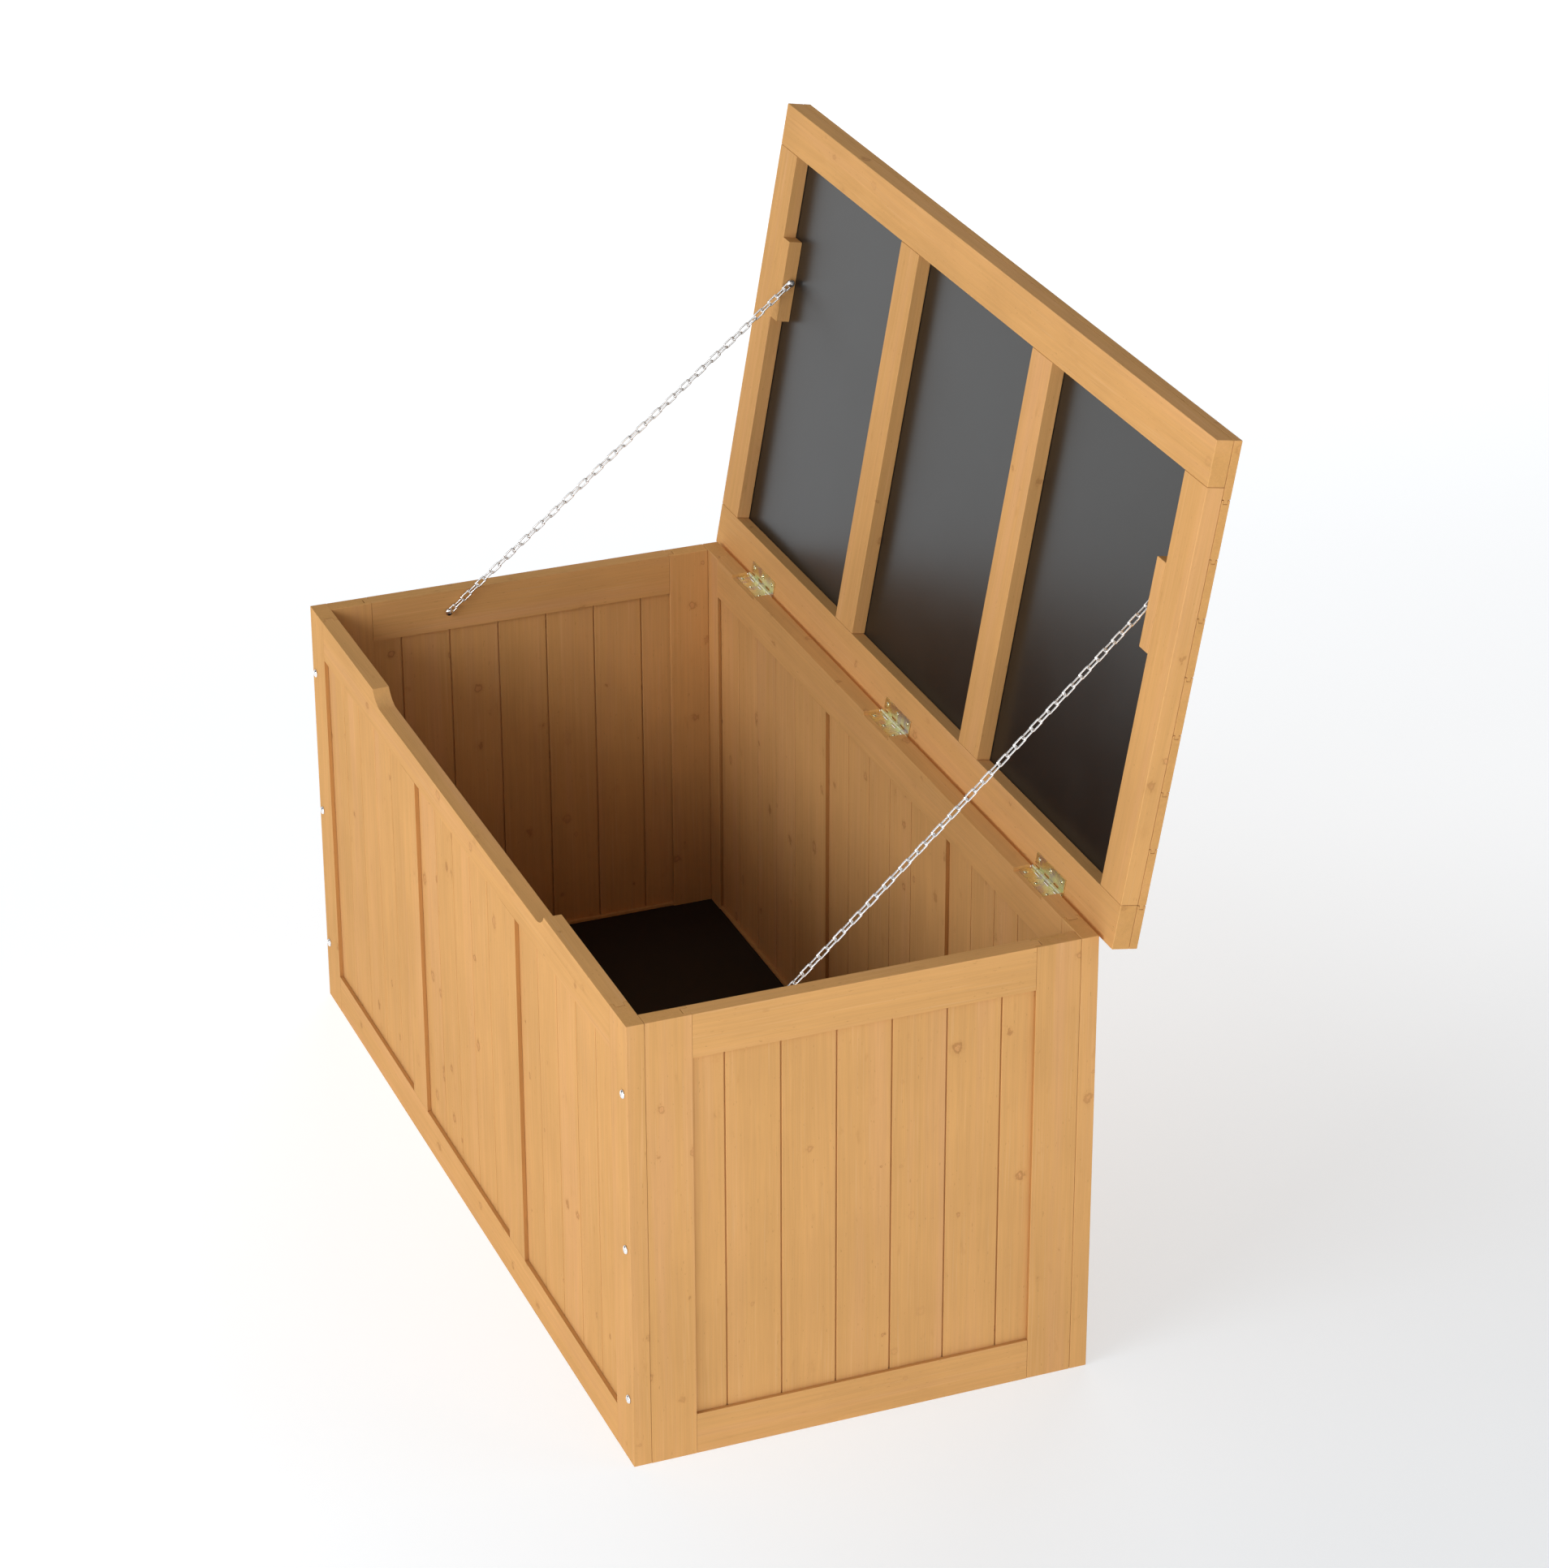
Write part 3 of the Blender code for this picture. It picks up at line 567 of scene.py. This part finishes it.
def add_deck():
    """The lid's boards, laid along it over its frame."""
    low, high = closed_box("lid_deck")
    joint = high.y - DECK_BACK_BOARD
    edges = [high.y]
    while joint > low.y + DECK_PITCH / 2:
        edges.append(joint)
        joint -= DECK_PITCH
    edges = sorted([*edges, low.y])
    middle = (low.z + high.z) / 2

    def place(u, v, w):
        return TO_OPEN @ Vector((low.x + w, u, middle + v))

    for number, (start, end) in enumerate(zip(edges, edges[1:]), 1):
        ends = (number > 1, number < len(edges) - 1)
        outline = board_outline(start, end, high.z - low.z, DECK_JOINT_GAP, *ends)
        add_board(f"lid_board_{number}", outline, place, high.x - low.x, "X", "lid", "lid_deck", True)


# ---------------------------------------------------------------- dark panels

# Colour and roughness
PANELS = {
    "lid_liner": ((0.0112, 0.0110, 0.0102), 0.30),
    "floor_panel": ((0.0035, 0.0030, 0.0026), 0.60),
}
PANEL_MOTTLE = 0.18
SCUFF_COLOUR = (0.06, 0.058, 0.055, 1.0)


def panel_material(name, base, roughness):
    """A thin dark sheet: satin, with a fine pebbled skin and faint scuffs."""
    material, t, shader = new_material(name, IOR=1.5)
    here = t.node("ShaderNodeTexCoord", output=OBJECT_COORDINATES)
    pebble = t.noise(here, (1500.0, 1500.0, 1500.0), 2.0)
    cloud = t.noise(here, (9.0, 9.0, 9.0), 3.0)
    scuff = t.ramp(t.noise(here, (30.0, 260.0, 60.0), 3.0), 0.60, 0.80)
    dark = (*[value * (1 - PANEL_MOTTLE) for value in base], 1.0)
    light = (*[value * (1 + PANEL_MOTTLE) for value in base], 1.0)
    colour = t.mix(t.ramp(cloud, 0.3, 0.7), dark, light)
    colour = t.mix(t.math("MULTIPLY", scuff, 0.04), colour, SCUFF_COLOUR)
    t.put(colour, shader.inputs["Base Color"])
    t.put(t.ramp(cloud, 0.25, 0.75, roughness - 0.02, roughness + 0.02), shader.inputs["Roughness"])
    bump = t.node("ShaderNodeBump", {"Strength": 0.10, "Distance": 0.0001, "Height": pebble})
    t.put(bump, shader.inputs["Normal"])
    return material


def finish_panels():
    """The lid's liner and the box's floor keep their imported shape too."""
    for node, (base, roughness) in PANELS.items():
        soften(NODES[node], BOARD_ARRIS, packed=True)
        set_material(NODES[node], panel_material(f"{node}_sheet", base, roughness))


# ---------------------------------------------------------------- metal


def metal_material(name, colour, tints, roughness, tint_scale):
    """Plated steel: clouds of two tints over its own colour, and fine scratches."""
    material, t, shader = new_material(name, Metallic=1.0)
    here = t.node("ShaderNodeTexCoord", output=OBJECT_COORDINATES)
    scratch = t.noise(here, (2600.0, 240.0, 2600.0), 2.0)
    base = (*colour, 1.0)
    for number, tint in enumerate(tints):
        moved = t.vector("ADD", here, (0.31 * number, 0.17, 0.23))
        cloud = t.noise(moved, (tint_scale,) * 3, 2.0)
        base = t.mix(t.ramp(cloud, 0.46, 0.66), base, (*tint, 1.0))
    t.put(base, shader.inputs["Base Color"])
    t.put(t.ramp(scratch, 0.3, 0.7, roughness - 0.05, roughness + 0.07), shader.inputs["Roughness"])
    bump = t.node("ShaderNodeBump", {"Strength": 0.15, "Distance": 0.00005, "Height": scratch})
    t.put(bump, shader.inputs["Normal"])
    return material


ZINC = metal_material(
    "yellow_zinc_plate", (0.96, 0.92, 0.56), ((0.88, 0.90, 0.56), (0.76, 0.68, 0.64)), 0.30, 80.0
)
STEEL = metal_material("bright_steel_plate", (0.97, 0.96, 0.95), ((0.88, 0.88, 0.88),), 0.25, 400.0)
ZINC_SCREW = metal_material("yellow_zinc_screw", (1.00, 0.97, 0.70), ((0.92, 0.92, 0.62),), 0.20, 500.0)


def turned_mesh(name, profile, sides):
    """A closed round solid about Z from (radius, z) points, the first and last on the axis."""
    mesh = bpy.data.meshes.new(name)
    shape = bmesh.new()
    rings = []
    for radius, z in profile:
        if radius == 0:
            rings.append([shape.verts.new((0.0, 0.0, z))])
            continue
        angles = [2 * math.pi * side / sides for side in range(sides)]
        rings.append([shape.verts.new((radius * math.cos(a), radius * math.sin(a), z)) for a in angles])
    for upper, lower in zip(rings, rings[1:]):
        for side in range(sides):
            after = (side + 1) % sides
            corners = [upper[side % len(upper)], lower[side % len(lower)], lower[after % len(lower)]]
            if len(upper) > 1:
                corners.append(upper[after])
            shape.faces.new(list(dict.fromkeys(corners)))
    bmesh.ops.recalc_face_normals(shape, faces=shape.faces)
    shape.to_mesh(mesh)
    shape.free()
    return mesh


def box_object(name, low, high):
    """A plain block, used as the start of a plate or as a cutter."""
    mesh = bpy.data.meshes.new(name)
    shape = bmesh.new()
    bmesh.ops.create_cube(shape, size=1.0)
    low, high = Vector(low), Vector(high)
    bmesh.ops.scale(shape, vec=high - low, verts=shape.verts)
    bmesh.ops.translate(shape, vec=(low + high) / 2, verts=shape.verts)
    shape.to_mesh(mesh)
    shape.free()
    obj = bpy.data.objects.new(name, mesh)
    bpy.context.scene.collection.objects.link(obj)
    return obj


def combined(name, base, steps):
    """The mesh of base with each (operation, other) applied to it; the helpers are removed."""
    for operation, other in steps:
        modifier = base.modifiers.new(other.name, "BOOLEAN")
        modifier.operation = operation
        modifier.solver = "EXACT"
        modifier.object = other
    bpy.context.view_layer.update()
    mesh = bpy.data.meshes.new_from_object(base.evaluated_get(bpy.context.evaluated_depsgraph_get()))
    mesh.name = name
    for obj in (base, *[other for _, other in steps]):
        bpy.data.objects.remove(obj, do_unlink=True)
    mesh.materials.clear()
    mesh.shade_smooth()
    mesh.set_sharp_from_angle(angle=SHARP_ANGLE)
    return mesh


def cross_cutter(name, reach, width, top, depth):
    """Two tapered bars that cut a cross recess, deepest in the middle."""
    bars = []
    for turn in (0, 1):
        low, high = (-reach, -width / 2, top - depth), (reach, width / 2, top + depth)
        bar = box_object(f"{name}_{turn}", low, high)
        for vertex in bar.data.vertices:
            if vertex.co.z < top:
                vertex.co.x *= RECESS_TAPER
        bar.rotation_euler.z = turn * math.pi / 2
        bars.append(bar)
    return bars


def screw_mesh(name, head_r, head_h, shank_r, length, clear):
    """A pan-head screw with a cross recess; z = 0 is the surface that it is driven into."""
    profile = [(0.0, clear + head_h)]
    for step in range(1, HEAD_STEPS + 1):
        angle = math.pi / 2 * step / HEAD_STEPS
        profile.append((head_r * math.sin(angle) ** 0.8, clear + head_h * math.cos(angle) ** 0.9))
    profile[-1] = (head_r, clear + 0.1 * head_h)
    profile += [(head_r * 0.96, clear), (shank_r, clear)]
    pitch = shank_r * THREAD_PITCH
    z = clear - pitch
    while z > -length + TIP_START * shank_r:
        profile += [(shank_r * THREAD_ROOT, z), (shank_r, z - pitch / 2)]
        z -= pitch
    profile += [(shank_r * 0.7, z), (0.0, -length)]
    base = bpy.data.objects.new(f"{name}_blank", turned_mesh(f"{name}_blank", profile, HEAD_SIDES))
    bpy.context.scene.collection.objects.link(base)
    top = clear + head_h
    bars = cross_cutter(name, head_r * RECESS_REACH, head_r * RECESS_WIDTH, top, head_h * RECESS_DEPTH)
    return combined(name, base, [("DIFFERENCE", bar) for bar in bars])


CORNER_SCREW = screw_mesh("corner_screw", HEAD_R, HEAD_H, SHANK_R, CORNER_SCREW_L, GAP)
CHAIN_SCREW = screw_mesh("chain_screw", HEAD_R, HEAD_H, SHANK_R, CHAIN_SCREW_L, CHAIN_HEAD_CLEAR)
HINGE_SCREW = screw_mesh(
    "hinge_screw", HINGE_HEAD_R, HINGE_HEAD_H, HINGE_SHANK_R, HINGE_SCREW_L, HINGE_HEAD_CLEAR
)


def add_screw(name, mesh, point, direction, body, node=None, material=STEEL):
    """A screw with its head's side facing along direction, turned to an angle of its own."""
    obj = bpy.data.objects.new(name, mesh)
    bpy.context.scene.collection.objects.link(obj)
    if not mesh.materials:
        mesh.materials.append(material)
    spin = Matrix.Rotation(random.Random(name).uniform(0, math.pi / 2), 4, "Z")
    turn = Vector(direction).to_track_quat("Z", "Y").to_matrix().to_4x4()
    obj.matrix_world = Matrix.Translation(point) @ turn @ spin
    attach(obj, body)
    if node:
        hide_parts(node)
    return obj


def add_corner_screws():
    """Screws through the front stiles, and the same ones at the back."""
    front_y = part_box("front_left_stile")[0].y
    back_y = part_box("back_left_stile")[1].y
    for side in ("left", "right"):
        for level in ("low", "middle", "high"):
            node = f"front_{side}_screw_{level}"
            low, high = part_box(node)
            x, z = (low.x + high.x) / 2, (low.z + high.z) / 2
            add_screw(f"{node}_head", CORNER_SCREW, (x, front_y, z), (0, -1, 0), "carcass", node)
            back = f"back_{side}_screw_{level}"
            add_screw(back, CORNER_SCREW, (x, back_y, z), (0, 1, 0), "carcass")


# ---------------------------------------------------------------- hinges


def rod_object(name, x_low, x_high, radius):
    """A rod along X on the hinge axis."""
    profile = [(0.0, x_high), (radius, x_high), (radius, x_low), (0.0, x_low)]
    obj = bpy.data.objects.new(name, turned_mesh(name, profile, KNUCKLE_SIDES))
    bpy.context.scene.collection.objects.link(obj)
    obj.matrix_world = Matrix.Translation((0, AXIS.y, AXIS.z)) @ Matrix.Rotation(math.pi / 2, 4, "Y")
    return obj


def leaf_mesh(name, low, high, own, other):
    """A leaf: a plate with its own knuckles, slots round the other leaf's, and a bore for the pin."""
    plate = box_object(name, low, high)
    steps = []
    for number, (start, end) in enumerate(other):
        reach_low = start - (BORE_R if start < low.x + GAP else GAP)
        reach_high = end + (BORE_R if end > high.x - GAP else GAP)
        slot = box_object(
            f"{name}_slot_{number}",
            (reach_low, AXIS.y - KNUCKLE_SLOT, low.z - BORE_R),
            (reach_high, high.y + BORE_R, high.z + BORE_R),
        )
        steps.append(("DIFFERENCE", slot))
    for number, (start, end) in enumerate(own):
        steps.append(("UNION", rod_object(f"{name}_knuckle_{number}", start, end, KNUCKLE_R)))
    steps.append(("DIFFERENCE", rod_object(f"{name}_bore", low.x - BORE_R, high.x + BORE_R, BORE_R)))
    return combined(name, plate, steps)


def knuckle_spans(low, high):
    """The start and end of each knuckle along a hinge from low to high."""
    length = (high - low) / KNUCKLES
    starts = [low + i * length for i in range(KNUCKLES)]
    return [(start + KNUCKLE_GAP / 2, start + length - KNUCKLE_GAP / 2) for start in starts]


def add_pin(name, pin_node):
    """A hinge's pin, with rounded ends."""
    low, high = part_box(pin_node)
    radius = (high.z - low.z) / 2
    dome = radius * 0.4
    profile = [
        (0.0, high.x), (radius * 0.7, high.x - dome * 0.3), (radius, high.x - dome),
        (radius, low.x + dome), (radius * 0.7, low.x + dome * 0.3), (0.0, low.x),
    ]
    mesh = turned_mesh(name, profile, PIN_SIDES)
    mesh.transform(Matrix.Translation((0, AXIS.y, AXIS.z)) @ Matrix.Rotation(math.pi / 2, 4, "Y"))
    mesh.shade_smooth()
    mesh.materials.append(ZINC)
    pin = bpy.data.objects.new(name, mesh)
    bpy.context.scene.collection.objects.link(pin)
    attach(pin, "carcass")
    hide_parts(pin_node)


def add_hinge(place):
    """One butt hinge: a leaf on the box, a leaf on the lid, a pin, and six small screws."""
    box_node, lid_node = f"hinge_{place}_box_leaf", f"hinge_{place}_lid_leaf"
    low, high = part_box(box_node)
    plate_top = AXIS.z - BOX_PLATE_BELOW_AXIS
    lid_plate = AXIS.z + LID_PLATE_ABOVE_AXIS
    spans = knuckle_spans(low.x, high.x)
    odd, even = spans[0::2], spans[1::2]
    middle = (low.x + high.x) / 2
    for name, node, z_low, own, other, body, moved in (
        (f"{place}_hinge_box_leaf", box_node, plate_top - PLATE_T, odd, even, "carcass", False),
        (f"{place}_hinge_lid_leaf", lid_node, lid_plate, even, odd, "lid", True),
    ):
        corner = Vector((high.x, AXIS.y, z_low + PLATE_T))
        mesh = leaf_mesh(name, Vector((low.x, low.y, z_low)), corner, own, other)
        if moved:
            mesh.transform(TO_OPEN)
        leaf = bpy.data.objects.new(name, mesh)
        bpy.context.scene.collection.objects.link(leaf)
        mesh.materials.append(ZINC)
        soften(leaf, METAL_EDGE)
        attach(leaf, body)
        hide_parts(node)
    add_pin(f"{place}_hinge_pin", f"hinge_{place}_pin")
    lid_down = TO_OPEN.to_3x3() @ Vector((0, 0, -1))
    for number, offset in enumerate(HINGE_SCREW_X, 1):
        x = middle + offset
        box_point = (x, AXIS.y - BOX_SCREW_FROM_AXIS, plate_top)
        add_screw(
            f"{place}_hinge_box_screw_{number}", HINGE_SCREW, box_point, (0, 0, 1), "carcass",
            material=ZINC_SCREW,
        )
        lid_point = TO_OPEN @ Vector((x, AXIS.y - LID_SCREW_FROM_AXIS, lid_plate))
        add_screw(
            f"{place}_hinge_lid_screw_{number}", HINGE_SCREW, lid_point, lid_down, "lid",
            material=ZINC_SCREW,
        )


# ---------------------------------------------------------------- chains


def link_rings(inner_length):
    """Points round one link's wire: a rounded rectangle in the XY plane, long along X."""
    corner = LINK_BEND_R
    half_l = inner_length / 2 + WIRE_R - corner
    half_w = LINK_W / 2 - WIRE_R - corner
    rings = []
    for number, (side_x, side_y) in enumerate(((1, 1), (-1, 1), (-1, -1), (1, -1))):
        for step in range(LINK_BEND_STEPS + 1):
            angle = math.pi / 2 * (number + step / LINK_BEND_STEPS)
            outward = Vector((math.cos(angle), math.sin(angle), 0))
            centre = Vector((side_x * half_l, side_y * half_w, 0)) + outward * corner
            ring = []
            for side in range(WIRE_SIDES):
                around = 2 * math.pi * side / WIRE_SIDES
                lift = Vector((0, 0, WIRE_R * math.sin(around)))
                ring.append(centre + outward * WIRE_R * math.cos(around) + lift)
            rings.append(ring)
    return rings


def add_chain(side):
    """A stay chain of links, taut at rest, between a screw on the carcass and a screw on the lid."""
    sign = -1 if side == "left" else 1
    ends = []
    for part, wood in (("rail", f"{side}_top_rail"), ("block", f"chain_block_{side}")):
        node = f"chain_screw_{side}_{part}"
        centre = middle_of(node)
        wood_low, wood_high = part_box(wood)
        face = wood_high.x if sign < 0 else wood_low.x
        body = "carcass" if part == "rail" else "lid"
        point = Vector((face, centre.y, centre.z))
        add_screw(f"{side}_chain_{part}_screw", CHAIN_SCREW, point, (-sign, 0, 0), body, node)
        ends.append(point - Vector((sign * CHAIN_STANDOFF, 0, 0)))
    start, end = ends
    along = (end - start).normalized()
    reach = LINK_PITCH / 2 - SHANK_R
    run = (end - start).length - 2 * reach
    # An even count, so that the links on both screws lie the same way
    count = 2 * math.ceil(round(run / LINK_PITCH) / 2)
    pitch = run / count
    rings = link_rings(pitch + LINK_SLACK)
    across = Vector((1, 0, 0))
    across = (across - along * across.dot(along)).normalized()
    shape = bmesh.new()
    for number in range(count + 1):
        normal = Matrix.Rotation(math.radians(90 * (number % 2)), 3, along) @ across
        turn = Matrix((along, normal.cross(along), normal)).transposed()
        centre = start + along * (reach + pitch * number)
        made = [[shape.verts.new(centre + turn @ point) for point in ring] for ring in rings]
        for ring, following in zip(made, [*made[1:], made[0]]):
            for a in range(len(ring)):
                b = (a + 1) % len(ring)
                shape.faces.new((ring[a], following[a], following[b], ring[b]))
    bmesh.ops.recalc_face_normals(shape, faces=shape.faces)
    mesh = bpy.data.meshes.new(f"{side}_stay_chain")
    shape.to_mesh(mesh)
    shape.free()
    mesh.shade_smooth()
    mesh.materials.append(STEEL)
    chain = bpy.data.objects.new(f"{side}_stay_chain", mesh)
    bpy.context.scene.collection.objects.link(chain)
    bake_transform(chain)
    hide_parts(f"chain_{side}")


# ---------------------------------------------------------------- stage


FLOOR_LOW, FLOOR_HIGH = (-30, -30, -0.02), (30, 30, -0.0002)
FLOOR_COLOUR = (0.47, 0.50, 0.53, 1.0)
# The middle of the floor's painted shadow, where it glows least
PAINTED_SHADOW_CENTRE = (0.95, 0.55, 0.0)
WORLD_STRENGTH = 0.06
LIGHT_TARGET = Vector((0.0, 0.0, 0.35))
LIGHT_DISTANCE = 5.0
LIGHT_SIZE = (3.0, 2.0)
# Azimuth from the front towards the right, elevation, power in watts
LIGHTS = {
    "front": (20, 25, 116.0),
    "front_right": (60, 12, 44.0),
    "right": (100, 12, 34.0),
    "front_left": (-70, 12, 14.0),
    "front_left_high": (-70, 38, 11.0),
    "front_right_mid": (60, 25, 9.0),
    "overhead": (0, 62, 26.0),
    "back_left": (-120, 31, 55.0),
    "back_right": (150, 25, 38.0),
}


def area_light(name, azimuth, elevation, power):
    """A soft light that looks at the box from azimuth and elevation in degrees."""
    data = bpy.data.lights.new(name, "AREA")
    data.shape = "RECTANGLE"
    data.size, data.size_y = LIGHT_SIZE
    data.energy = power
    light = bpy.data.objects.new(name, data)
    bpy.context.scene.collection.objects.link(light)
    turn, rise = math.radians(azimuth), math.radians(elevation)
    away = Vector((math.sin(turn) * math.cos(rise), -math.cos(turn) * math.cos(rise), math.sin(rise)))
    light.location = LIGHT_TARGET + away * LIGHT_DISTANCE
    light.rotation_mode = "QUATERNION"
    light.rotation_quaternion = (-away).to_track_quat("-Z", "Y")


def add_stage():
    """A white floor that glows, with a painted shadow where it glows less by the box's right end towards the
    back, and large soft lights.
    """
    material, t, shader = new_material("studio_floor", Roughness=0.9)
    shader.inputs["Base Color"].default_value = FLOOR_COLOUR
    shader.inputs["Specular IOR Level"].default_value = 0.0
    shader.inputs["Emission Color"].default_value = (1.0, 1.0, 1.0, 1.0)
    place = t.node("ShaderNodeTexCoord", output=OBJECT_COORDINATES)
    away = t.vector("DISTANCE", place, PAINTED_SHADOW_CENTRE, output=1)
    # The glow is weaker near the box as a painted shadow, and rises far away to a white backdrop
    glow = t.math("ADD", t.ramp(away, 0.2, 1.7, 0.50, 0.70), t.ramp(away, 2.0, 5.5, 0.0, 0.24))
    t.put(glow, shader.inputs["Emission Strength"])
    floor = box_object("studio_floor", FLOOR_LOW, FLOOR_HIGH)
    set_material(floor, material)
    world = bpy.data.worlds.new("studio_world")
    bpy.context.scene.world = world
    world.use_nodes = True
    world.node_tree.nodes["Background"].inputs["Color"].default_value = (1.0, 1.0, 1.0, 1.0)
    world.node_tree.nodes["Background"].inputs["Strength"].default_value = WORLD_STRENGTH
    for name, (azimuth, elevation, power) in LIGHTS.items():
        area_light(name, azimuth, elevation, power)


def add_camera():
    """The camera that was fitted to the photo."""
    data = bpy.data.cameras.new("camera")
    data.lens = CAMERA_LENS
    data.clip_end = 100
    camera = bpy.data.objects.new("camera", data)
    bpy.context.scene.collection.objects.link(camera)
    sin_a, cos_a = math.sin(CAMERA_AZIMUTH), math.cos(CAMERA_AZIMUTH)
    sin_e, cos_e = math.sin(CAMERA_ELEVATION), math.cos(CAMERA_ELEVATION)
    back = Vector((sin_a * cos_e, -cos_a * cos_e, sin_e))
    right = Vector((cos_a, sin_a, 0))
    up = back.cross(right)
    turn = Matrix((right, up, back)).transposed() @ Matrix.Rotation(CAMERA_ROLL, 3, "Z")
    camera.matrix_world = Matrix.Translation(CAMERA_AT) @ turn.to_4x4()
    bpy.context.scene.camera = camera


finish_members()
for long_side in ("front", "back"):
    for bay in ("left", "middle", "right"):
        add_bay(f"{long_side}_boards_{bay}", f"{long_side}_{bay}_board")
for end_side in ("left", "right"):
    add_bay(f"{end_side}_boards", f"{end_side}_board")
add_deck()
finish_panels()
add_corner_screws()
for hinge_place in ("left", "middle", "right"):
    add_hinge(hinge_place)
for chain_side in ("left", "right"):
    add_chain(chain_side)
add_stage()
add_camera()
bpy.context.scene.view_settings.view_transform = "Standard"
